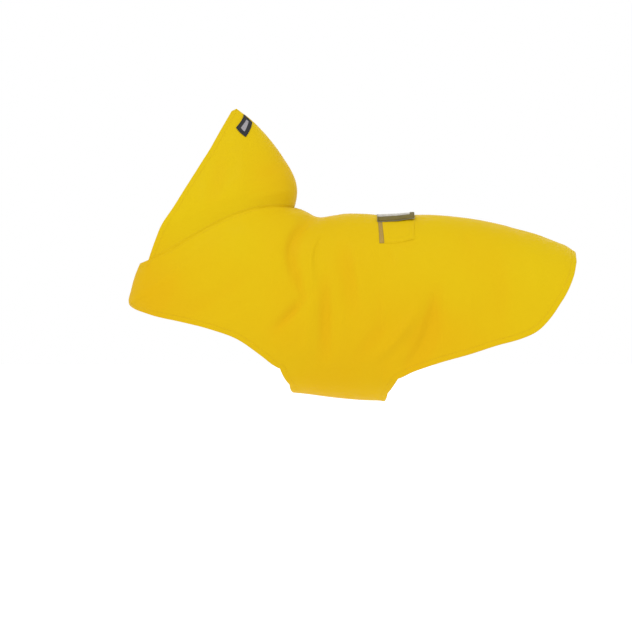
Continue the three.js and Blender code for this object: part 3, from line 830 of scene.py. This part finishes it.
def finer(values, parts):
    values = np.asarray(values, float)
    steps = [values[:-1] + (values[1:] - values[:-1]) * k / parts for k in range(parts)]
    return np.append(beside(*steps).ravel(), values[-1])


def in_order(*parts):
    return np.unique(np.concatenate(parts).round(9))


def rows_between_edges(count):
    return in_order(CLOSE, finer(np.arange(1, count), ROW_PARTS), count - CLOSE)


cad_places = [i + k / strips for i, strips in enumerate(BODY["strips"][:NECK]) for k in range(int(strips))]
cad_places.append(float(NECK))
body_places = in_order(finer(cad_places, PLACE_PARTS), NECK - np.array([0.04, 0.1]), [0.1])
body_rows = rows_between_edges(PANEL_ROWS)


def stations_of(places, angles_of):
    return np.stack([beside(np.full(len(angles_of(p)), p), angles_of(p)) for p in places])


def row_stations(places, rows):
    return stations_of(places, lambda p: row_angle(np.full(len(rows), p), rows))


def belly_grid():
    roots = body_places[(body_places >= BELLY_REAR[0]) & (body_places <= BELLY_FRONT[0])]
    cad_roots = [p for p in cad_places if BELLY_REAR[0] <= p <= BELLY_FRONT[0]]
    across = np.interp(roots, cad_roots, np.linspace(0, 1, len(cad_roots)))
    first, last = math.pi - BELLY_OVERLAP, math.pi + BELLY_OVERLAP
    lines = []
    for root, share in zip(roots, across):
        turn, end = (rear + (front - rear) * share for rear, front in zip(BELLY_REAR[1:], BELLY_FRONT[1:]))
        down = np.linspace(0, 1, EDGE_STEPS + 1)[:-1]
        start = float(hem_angle(np.array([root]))[0])
        slope = beside(root + (turn - root) * down, start + (first - start) * down)
        lap = np.linspace(first, last, LAP_STEPS + 1)
        under = turn + (end - turn) * np.clip((lap - first) / BELLY_OVERLAP, 0, 1)
        lines.append(np.concatenate([slope, beside(under, lap)]))
    return np.stack(lines)


def panel_grids():
    chest_places = body_places[body_places >= CHEST_HEM]
    overlap = np.linspace(math.pi, math.pi + CHEST_OVERLAP, CHEST_STEPS)
    chest_grid = stations_of(chest_places, lambda place: overlap)
    return [row_stations(body_places, body_rows), belly_grid(), chest_grid]


def panel_seams(place, angle):
    return (np.abs(angle) < ON_LINE) | on_neck(place, angle)


ENDS = (("left", -1), ("right", 1))
for end, side in ENDS:
    sew(f"side_panel_{end}", f"body_{end}", body_lay, side, panel_grids(), hem=HEM, spine=spine_gap,
        sewn=panel_seams)

# %% [markdown]
# ## Hood
# Two halves meet in a seam along the crown, from the neck to the peak. The face edge is a hem.

# %% Hood halves
HOOD_LINES = 15
NEAR_ENDS = [0.03, 0.08, HOOD_TOP - 0.05]  # rows close to the neck and to the peak
hood_rows = in_order(finer(np.linspace(0, HOOD_TOP, HOOD_LINES), PLACE_PARTS), NEAR_ENDS)
hood_angles = rows_between_edges(FACE_ROWS) * FACE_ANGLE / FACE_ROWS
hood_grid = stations_of(hood_rows, lambda row: hood_angles)


def hood_seams(row, angle):
    return (np.abs(angle) < ON_LINE) | (row < ON_LINE) | (row > HOOD_TOP - ON_LINE)


for end, side in ENDS:
    sew(f"hood_half_{end}", f"hood_{end}", hood_lay, side, [hood_grid], hem=HEM, spine=SEWN_GAP / 2,
        sewn=hood_seams)

# %% [markdown]
# ## Trim of the lead slit
# A patch on each side keeps the slit from tearing, a tan reflective tape crosses the back at its front
# end, and a grey reflective flap with a dark edge covers it. The flap's free end stands up a little.

# %% Patches, tape, flap and binding
TRIM_ROWS = 6.5  # how far the patches and the tape reach down each side
# Each line's place at the spine, and its slant
PATCH_FRONT, TAPE_FRONT, TAPE_BACK = (12.7, 0.7), (13.25, 0.25), (12.75, 0.7)
FLAP_FRONT, FLAP_BACK, FLAP_ROWS, BINDING_ROWS = 13.2, 10.0, 3.25, 1.25
PATCH_THICK, TAPE_THICK, PATCH_LIFT, PLY_GAP = 0.35, 0.4, 0.5, 0.2
PATCH_FROM_SPINE, FREE_END_LIFT, TRIM_PUCKER = 1.1, 2.5, 0.05


def slanted_grid(front, back, rows, lines):
    """A grid between two slanted lines, each given as its place at the spine and its slant."""
    grid = []
    for share in np.linspace(0, 1, lines + 1):
        at_spine, slant = (b + (f - b) * share for f, b in zip(front, back))
        place = at_spine - slant * np.abs(rows) / TRIM_ROWS
        grid.append(beside(place, row_angle(place, rows)))
    return np.stack(grid)


def flap_lift(place):
    back = np.clip((FLAP_FRONT - place) / (FLAP_FRONT - FLAP_BACK), 0, 1)
    return PATCH_LIFT + PLY_GAP + CLOTH + FREE_END_LIFT * back ** 2


def binding_lift(place):
    return flap_lift(place) + PLY_GAP + TAPE_THICK


def trim(name, node, grids, lift, thickness):
    """One piece across the spine."""
    sew(name, node, body_lay, 1, grids, lift=lift, thickness=thickness, pucker=TRIM_PUCKER)


for end, side in ENDS:
    grid = slanted_grid(PATCH_FRONT, (FLAP_BACK, 0), np.linspace(0, TRIM_ROWS, 35), 26)
    sew(f"slit_patch_cloth_{end}", f"slit_patch_{end}", body_lay, side, [grid], lift=PATCH_LIFT,
        thickness=PATCH_THICK, spine=PATCH_FROM_SPINE, pucker=TRIM_PUCKER, roll=0)
across_tape = slanted_grid(TAPE_FRONT, TAPE_BACK, np.linspace(-TRIM_ROWS, TRIM_ROWS, 77), 10)
across_flap = slanted_grid((FLAP_FRONT, 0), (FLAP_BACK, 0), np.linspace(-FLAP_ROWS, FLAP_ROWS, 41), 30)
trim("lead_slit_cross_tape", "tape_across", [across_tape], PATCH_LIFT, TAPE_THICK)
trim("lead_slit_flap", "lead_flap", [across_flap], flap_lift, CLOTH)
along, inner = np.linspace(FLAP_BACK, FLAP_FRONT, 31), FLAP_ROWS - BINDING_ROWS
bands = [row_stations(along, np.linspace(-FLAP_ROWS, -inner, 9)),
         row_stations(along[:3], np.linspace(-inner, inner, 33)),
         row_stations(along, np.linspace(inner, FLAP_ROWS, 9))]
trim("flap_edge_tape", "flap_binding", bands, binding_lift, TAPE_THICK)

# %% [markdown]
# ## Label
# The black label near the hood's peak is a woven patch. It is left without words, with a plain grey
# woven panel in its middle.

# %% Label
# Row of the hood, and share of the way from the crown to the face
LABEL_TOP = np.array([[7.42, 0.055], [6.73, 0.055]])
LABEL_LOW = np.array([[6.74, 0.5], [5.97, 0.33]])
LABEL_STEPS, LABEL_THICK = 16, 0.6


def label_grid():
    shares, lines = np.linspace(0, 1, LABEL_STEPS + 1), []
    for across in shares:
        top, low = (first + (second - first) * across for first, second in (LABEL_TOP, LABEL_LOW))
        row, share = (top + (low - top) * shares[:, None]).T
        closes = np.radians(column(HOOD["closes"], row))
        lines.append(beside(row, angle_at(share * share_at(closes)) / closes * FACE_ANGLE))
    return np.stack(lines)


sew("label_patch", "hood_label", hood_lay, -1, [label_grid()], lift=TRIM_GAP + TAPE,
    thickness=LABEL_THICK, pucker=0, roll=0)

# %% [markdown]
# ## Stitching
# Each seam, hem and tape is sewn with a lock stitch, in thread of the colour of its piece. One stitch
# is modelled as a short rounded piece of thread, and then copied along lines at an even distance from
# the edge. Those lines are found on the cloth itself, as level lines of the distances that were kept.

# %% One stitch
STITCH_HALF = (1.32, 0.27, 0.2)  # half its length, width and height
STITCH_DIP = 0.1  # how far its ends go down into the cloth

deselect_all()
bpy.ops.mesh.primitive_uv_sphere_add(segments=6, ring_count=6, radius=1, location=(0, 0, 0))
stitch = bpy.context.object
stitch.name = "stitch"
bpy.ops.object.mode_set(mode="EDIT")
bpy.ops.mesh.select_all(action="SELECT")
bpy.ops.transform.rotate(value=math.pi / 2, orient_axis="Y", center_override=(0, 0, 0))
bpy.ops.transform.resize(value=STITCH_HALF, center_override=(0, 0, 0))
bpy.ops.object.mode_set(mode="OBJECT")
stitch_points = np.array([vertex.co[:] for vertex in stitch.data.vertices])
stitch_points[:, 2] -= STITCH_DIP * (stitch_points[:, 0] / STITCH_HALF[0]) ** 2
stitch_faces = [list(face.vertices) for face in stitch.data.polygons]
bpy.data.objects.remove(stitch)
print("one stitch has", len(stitch_faces), "faces")

# %% Level lines and rows of stitches
STITCH_PITCH = 3.4
STITCH_RISE, STITCH_SLANT = 0.07, 0.04  # a lock stitch lies a little aslant
SHORTEST_LINE, AHEAD, LAST_STEP = 8, 0.8, 0.6  # in points, in millimetres, and as a share of the pitch
HEM_LINE, SEAM_LINE, PATCH_LINE, TAPE_LINE, LABEL_LINE = 8.5, 3.2, 2.6, 1.8, 1.6  # in from the edge


def level_lines(points, normals, quads, values, level):
    """Lines on a sheet where values pass the level: points, and the directions out of the cloth."""
    triangles = halves(quads)
    above = values[triangles] > level
    mixed = triangles[above.any(axis=1) & ~above.all(axis=1)]
    links, spot = {}, {}
    for triangle in mixed.tolist():
        ends = []
        for p, q in ((0, 1), (1, 2), (2, 0)):
            a, b = sorted((triangle[p], triangle[q]))
            if (values[a] > level) != (values[b] > level):
                t = (level - values[a]) / (values[b] - values[a])
                spot[(a, b)] = [v[a] + (v[b] - v[a]) * t for v in (points, normals)]
                ends.append((a, b))
        if len(ends) == 2:
            links.setdefault(ends[0], []).append(ends[1])
            links.setdefault(ends[1], []).append(ends[0])
    lines, used = [], set()
    for start in [k for k in links if len(links[k]) == 1] + list(links):
        if start in used:
            continue
        line, here = [start], start
        used.add(start)
        while True:
            onward = [k for k in links[here] if k not in used]
            if not onward:
                break
            here = onward[0]
            used.add(here)
            line.append(here)
        if len(line) > SHORTEST_LINE:
            lines.append([np.array([spot[k][part] for k in line]) for part in (0, 1)])
    return lines


def even_steps(line, normals, pitch):
    """The stitches on a line: where they lie, which way they run and which way is out."""
    for _ in range(3):
        line[1:-1] = (line[:-2] + 2 * line[1:-1] + line[2:]) / 4
    run = np.concatenate([[0], np.cumsum(np.linalg.norm(np.diff(line, axis=0), axis=1))])
    steps = np.arange(pitch, run[-1] - pitch * LAST_STEP, pitch)
    spots, ahead, out = (beside(*(np.interp(places, run, part) for part in values.T)) for places, values in
                         ((steps, line), (steps + AHEAD, line), (steps, normals)))
    along, up = unit(ahead - spots), unit(out)
    along = unit(along - up * (along * up).sum(axis=-1, keepdims=True))
    return spots, along, up


threads = {}


def stitch_rows(name, host, hem_line, seam_line=None):
    """Rows of stitches on a finished piece, at their distances in from its hems and its seams."""
    sheet, found = made[host], []
    facing = unit(sheet["outer"] - sheet["inner"])
    for mark, distance in (("hem_mm", hem_line), ("seam_mm", seam_line)):
        if distance is not None:
            found += [even_steps(line, normals, STITCH_PITCH) for line, normals in
                      level_lines(sheet["outer"], facing, sheet["quads"], sheet[mark], distance)]
    spots, along, up = (np.concatenate(parts) for parts in zip(*found))
    across = np.cross(up, along)
    turn = np.stack([unit(along + STITCH_SLANT * across), unit(across - STITCH_SLANT * along), up], axis=1)
    points = np.einsum("pc,kcd->kpd", stitch_points, turn) + (spots + STITCH_RISE * up)[:, None, :]
    count = len(stitch_points)
    faces = [[v + k * count for v in face] for k in range(len(spots)) for face in stitch_faces]
    piece = mesh_object(name, points.reshape(-1, 3), faces)
    piece.data.shade_smooth()
    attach(piece, "root")
    threads[host] = piece
    print(name, "stitches:", len(spots))


for end, _ in ENDS:
    stitch_rows(f"panel_stitches_{end}", f"side_panel_{end}", HEM_LINE, SEAM_LINE)
    stitch_rows(f"hood_stitches_{end}", f"hood_half_{end}", HEM_LINE, SEAM_LINE)
    stitch_rows(f"patch_stitches_{end}", f"slit_patch_cloth_{end}", PATCH_LINE)
stitch_rows("cross_tape_stitches", "lead_slit_cross_tape", TAPE_LINE)
stitch_rows("edge_tape_stitches", "flap_edge_tape", TAPE_LINE)
stitch_rows("label_stitches", "label_patch", LABEL_LINE)

# %% [markdown]
# ## Coated cloth
# The cloth is a fine plain weave with a thin waterproof coating: yellow, between matt and satin. Its
# colour wanders at random between lemon and a warmer yellow, and a warmer, darker yellow is painted in as
# shade low down, in hollows, at the throat's corner and on the hood's rear half. The threads show as a fine
# relief, the hem is a turned-in band with a line pressed in by its stitches, and the coating is duller on
# the inside. Painted shade darkens the seams' grooves and the pressed-in stitch lines a little.
# The weave follows the cloth's own flat pattern, and everything else its place on the coat.

# %% Helpers for materials


class Nodes:
    """Short ways to add nodes to a material."""

    def __init__(self, name):
        self.material, self.shader = node_material(name)
        self.tree = self.material.node_tree

    def add(self, kind, settings=None, **inputs):
        node = self.tree.nodes.new(kind)
        for key, value in (settings or {}).items():
            setattr(node, key, value)
        for key, value in inputs.items():
            self.put(node.inputs[int(key[1:]) if key[1:].isdigit() else key], value)
        return node

    def put(self, socket, value):
        if hasattr(value, "is_linked"):
            self.tree.links.new(value, socket)
        else:
            socket.default_value = value

    def give(self, **finish):
        """Sets what the shader shows: a value, or what a node gives."""
        for key, value in finish.items():
            self.put(self.shader.inputs[key.replace("_", " ")], value)

    def uv(self):
        return self.add("ShaderNodeUVMap", {"uv_map": "cloth"}).outputs["UV"]

    def place(self):
        return self.add("ShaderNodeTexCoord").outputs["Object"]

    def math(self, operation, a, b=0.0, clamp=False):
        settings = {"operation": operation, "use_clamp": clamp}
        return self.add("ShaderNodeMath", settings, i0=a, i1=b).outputs[0]

    def times(self, a, b):
        return self.math("MULTIPLY", a, b)

    def plus(self, a, b):
        return self.math("ADD", a, b)

    def spread(self, value, low, high, to_low=0.0, to_high=1.0):
        settings = {"interpolation_type": "SMOOTHSTEP"}
        node = self.add("ShaderNodeMapRange", settings, i0=value, i1=low, i2=high, i3=to_low, i4=to_high)
        return node.outputs[0]

    def mark(self, name):
        return self.add("ShaderNodeAttribute", {"attribute_name": name}).outputs["Fac"]

    def noise(self, place, scale, detail=2.0, rough=0.5):
        settings = dict(Vector=place, Scale=scale, Detail=detail, Roughness=rough)
        return self.add("ShaderNodeTexNoise", **settings).outputs["Fac"]

    def blend(self, share, first, second):
        return self.add("ShaderNodeMix", {"data_type": "RGBA"}, i0=share, i6=first, i7=second).outputs[2]

    def relief(self, height, distance, strength, under=None):
        node = self.add("ShaderNodeBump", Height=height, Distance=distance, Strength=strength)
        if under is not None:
            self.tree.links.new(under, node.inputs["Normal"])
        return node.outputs["Normal"]

    def weave(self, uv, pitch):
        """Height of a plain weave: threads over and under each other, one pitch apart."""
        scaled = self.add("ShaderNodeVectorMath", {"operation": "SCALE"}, i0=uv)
        scaled.inputs["Scale"].default_value = math.pi / pitch
        parts = self.add("ShaderNodeSeparateXYZ", i0=scaled.outputs[0])
        warp, weft = self.math("SINE", parts.outputs[0]), self.math("SINE", parts.outputs[1])
        thread = self.plus(self.math("ABSOLUTE", warp), self.math("ABSOLUTE", weft))
        return self.plus(self.times(self.times(warp, weft), 0.5), self.times(thread, 0.5))


print("material helpers are ready")

# %% Coated cloth and thread
# LEMON is the cloth's own yellow. The warmer yellow is partly random tone and partly painted shade, and the
# darkest yellow is painted shade along seams and stitch lines, and wear and the duller inside
LEMON, WARM_TONE_AND_SHADE, SHADE_AND_WEAR = (0.66, 0.462, 0.005, 1), (0.67, 0.396, 0.0045, 1), (0.57, 0.34, 0.004, 1)

cloth = Nodes("coated_yellow_cloth")
spot = cloth.place()
hem, seam, inside = cloth.mark("hem_mm"), cloth.mark("seam_mm"), cloth.mark("inside")
broad, fine = cloth.noise(spot, 5.5), cloth.noise(spot, 60.0, 3.0)
# A random warmer tone, plus the warmer, darker yellow painted in as shade
tone_and_shade = cloth.math("ADD", cloth.mark("painted_shade"), cloth.spread(broad, 0.35, 0.65, -0.08, 0.2), True)
# A little darker: painted shade along the pressed-in stitch lines and in the seams' grooves, and the
# cloth's own wear at the edges and its duller coating inside
stitched = cloth.times(cloth.spread(hem, 7.4, 8.5), cloth.spread(hem, 8.5, 9.8, 1.0, 0.0))
seam_line = cloth.spread(seam, 0.3, 4.2, 1.0, 0.0)
worn = cloth.times(cloth.spread(hem, 0.2, 1.8, 1.0, 0.0), cloth.spread(fine, 0.35, 0.7))
dark = cloth.times(stitched, 0.08)
for where, share in ((seam_line, 0.12), (worn, 0.15), (inside, 0.15)):
    dark = cloth.math("MAXIMUM", dark, cloth.times(where, share))
# From the softest relief to the finest: the cloth's unevenness, hems and seams, puckers, weave
soft = cloth.relief(cloth.noise(spot, 38.0, 2.0, 0.55), 0.0011, 0.55)
crinkle = cloth.relief(cloth.noise(spot, 150.0), 0.00022, 0.6, soft)
band = cloth.plus(cloth.spread(hem, 9.2, 10.4, 1.0, 0.0), cloth.times(stitched, -0.9))
sewn_down = cloth.times(cloth.spread(seam, 2.2, 3.2, 1.0, 0.0), -0.2)
felled = cloth.plus(cloth.spread(seam, 4.6, 6.0, 1.0, 0.0), sewn_down)
edges_relief = cloth.relief(cloth.plus(band, felled), 0.0003, 0.7, crinkle)
ripple = cloth.times(cloth.noise(spot, 130.0, 1.0), cloth.spread(hem, 3.0, 13.0, 1.0, 0.0))
puckered = cloth.relief(ripple, 0.0006, 0.45, edges_relief)
cloth.give(Base_Color=cloth.blend(dark, cloth.blend(tone_and_shade, LEMON, WARM_TONE_AND_SHADE), SHADE_AND_WEAR), Specular_IOR_Level=0.04,
           Roughness=cloth.plus(cloth.spread(fine, 0.3, 0.7, 0.5, 0.62), cloth.times(inside, 0.15)),
           Normal=cloth.relief(cloth.weave(cloth.uv(), 0.00062), 0.00006, 0.5, puckered))


def twisted_thread(name, first, second):
    """Sewing thread between two shades, with the fine relief of its twist."""
    thread = Nodes(name)
    place = thread.place()
    thread.give(Base_Color=thread.blend(thread.noise(place, 900.0), first, second), Roughness=0.6,
                Specular_IOR_Level=0.1, Normal=thread.relief(thread.noise(place, 2600.0), 0.00008, 0.7))
    return thread


yellow_thread = twisted_thread("yellow_thread", (0.6, 0.37, 0.008, 1), (0.76, 0.52, 0.02, 1))
dark_thread = twisted_thread("dark_thread", (0.06, 0.045, 0.018, 1), (0.1, 0.075, 0.03, 1))
black_thread = twisted_thread("black_thread", (0.012, 0.012, 0.014, 1), (0.03, 0.03, 0.034, 1))
grey_thread = twisted_thread("grey_thread", (0.3, 0.26, 0.15, 1), (0.38, 0.34, 0.22, 1))
print("coated cloth and threads are ready")

# %% [markdown]
# ## Reflective tape and the label
# Reflective tape has tiny glass beads on its ground, so it is a little metallic, with a fine diamond
# pattern: grey on the flap, and tan across the back. The label is woven in black with fine ribs, and its
# middle is a plain grey panel.

# %% Tape and label


def beaded_tape(name, first, second, gloss):
    """Reflective tape between two shades: beads in small cells, duller along its edges."""
    tape = Nodes(name)
    place = tape.place()
    cells = tape.add("ShaderNodeTexVoronoi", {"feature": "DISTANCE_TO_EDGE"}, Vector=tape.uv(), Scale=900.0)
    cell_line = tape.spread(cells.outputs["Distance"], 0.02, 0.12)
    dull, line = (tuple(share * v for v in first[:3]) + (1,) for share in (0.45, 0.8))
    shade = tape.blend(tape.noise(place, 90.0), first, second)
    shade = tape.blend(tape.spread(tape.mark("hem_mm"), 0.3, 1.4, 0.4, 0.0), shade, dull)
    tape.give(Base_Color=tape.blend(cell_line, line, shade), Metallic=gloss, Specular_IOR_Level=0.2,
              Roughness=tape.spread(tape.noise(place, 140.0), 0.3, 0.7, 0.36, 0.5),
              Normal=tape.relief(cell_line, 0.00006, 0.6))
    return tape


flap_tape = beaded_tape("grey_reflective_tape", (0.36, 0.34, 0.28, 1), (0.46, 0.43, 0.36, 1), 0.25)
cross_tape = beaded_tape("tan_reflective_tape", (0.4, 0.251, 0.041, 1), (0.48, 0.303, 0.053, 1), 0.1)

edge = Nodes("dark_edge_tape")
ribs = edge.weave(edge.uv(), 0.0007)
browns = edge.blend(edge.noise(edge.place(), 110.0), (0.12, 0.091, 0.014, 1), (0.17, 0.131, 0.022, 1))
edge.give(Base_Color=browns, Specular_IOR_Level=0.1, Roughness=edge.spread(ribs, 0.0, 1.0, 0.7, 0.5),
          Normal=edge.relief(ribs, 0.0001, 0.7))

label = Nodes("black_woven_label")
rib = label.weave(label.uv(), 0.0005)
black = label.blend(label.noise(label.place(), 300.0), (0.009, 0.009, 0.011, 1), (0.02, 0.02, 0.024, 1))
panel = label.blend(rib, (0.2, 0.185, 0.2, 1), (0.36, 0.34, 0.36, 1))
label.give(Base_Color=label.blend(label.spread(label.mark("hem_mm"), 5.9, 6.8), black, panel),
           Roughness=0.8, Normal=label.relief(rib, 0.00008, 0.8))
print("tape and label are ready")

# %% Finishes on the pieces
finish_of = {
    "lead_slit_cross_tape": (cross_tape, "reflective_tape"),
    "lead_slit_flap": (flap_tape, "reflective_tape"),
    "flap_edge_tape": (edge, "edge_tape"),
    "label_patch": (label, "label"),
}
for name, sheet in made.items():
    finish, slot = finish_of.get(name, (cloth, "coated_cloth"))
    sheet["piece"].data.materials.append(finish.material)
thread_of = {"lead_slit_cross_tape": grey_thread, "flap_edge_tape": dark_thread,
             "label_patch": black_thread}
for name, piece in threads.items():
    piece.data.materials.append(thread_of.get(name, yellow_thread).material)
print("pieces with a finish:", len(made) + len(threads))

# %% [markdown]
# ## What each piece rests on
# Each piece's flat size was measured on its flattened pattern when it was sewn. Here the pieces that
# each piece of cloth rests on are listed, and the pieces and stitches that lie on it are gathered.

# %% What each piece rests on
resting = {
    "side_panel_left": ["side_panel_right"], "side_panel_right": ["side_panel_left"],
    "hood_half_left": ["side_panel_left"], "hood_half_right": ["side_panel_right"],
    "slit_patch_cloth_left": ["side_panel_left"], "slit_patch_cloth_right": ["side_panel_right"],
    "lead_slit_flap": ["slit_patch_cloth_left", "slit_patch_cloth_right"],
}
on_them = {"hood_half_left": "label_patch", "lead_slit_flap": "flap_edge_tape",
           "side_panel_left": "lead_slit_cross_tape"}
for name, rests_on in resting.items():
    sheet, on_it = made[name], on_them.get(name)
    extra = [made[on_it]["piece"], threads[on_it]] if on_it else []
    extra += [threads[name]] if name in threads else []

# %% Update the scene
bpy.context.view_layer.update()
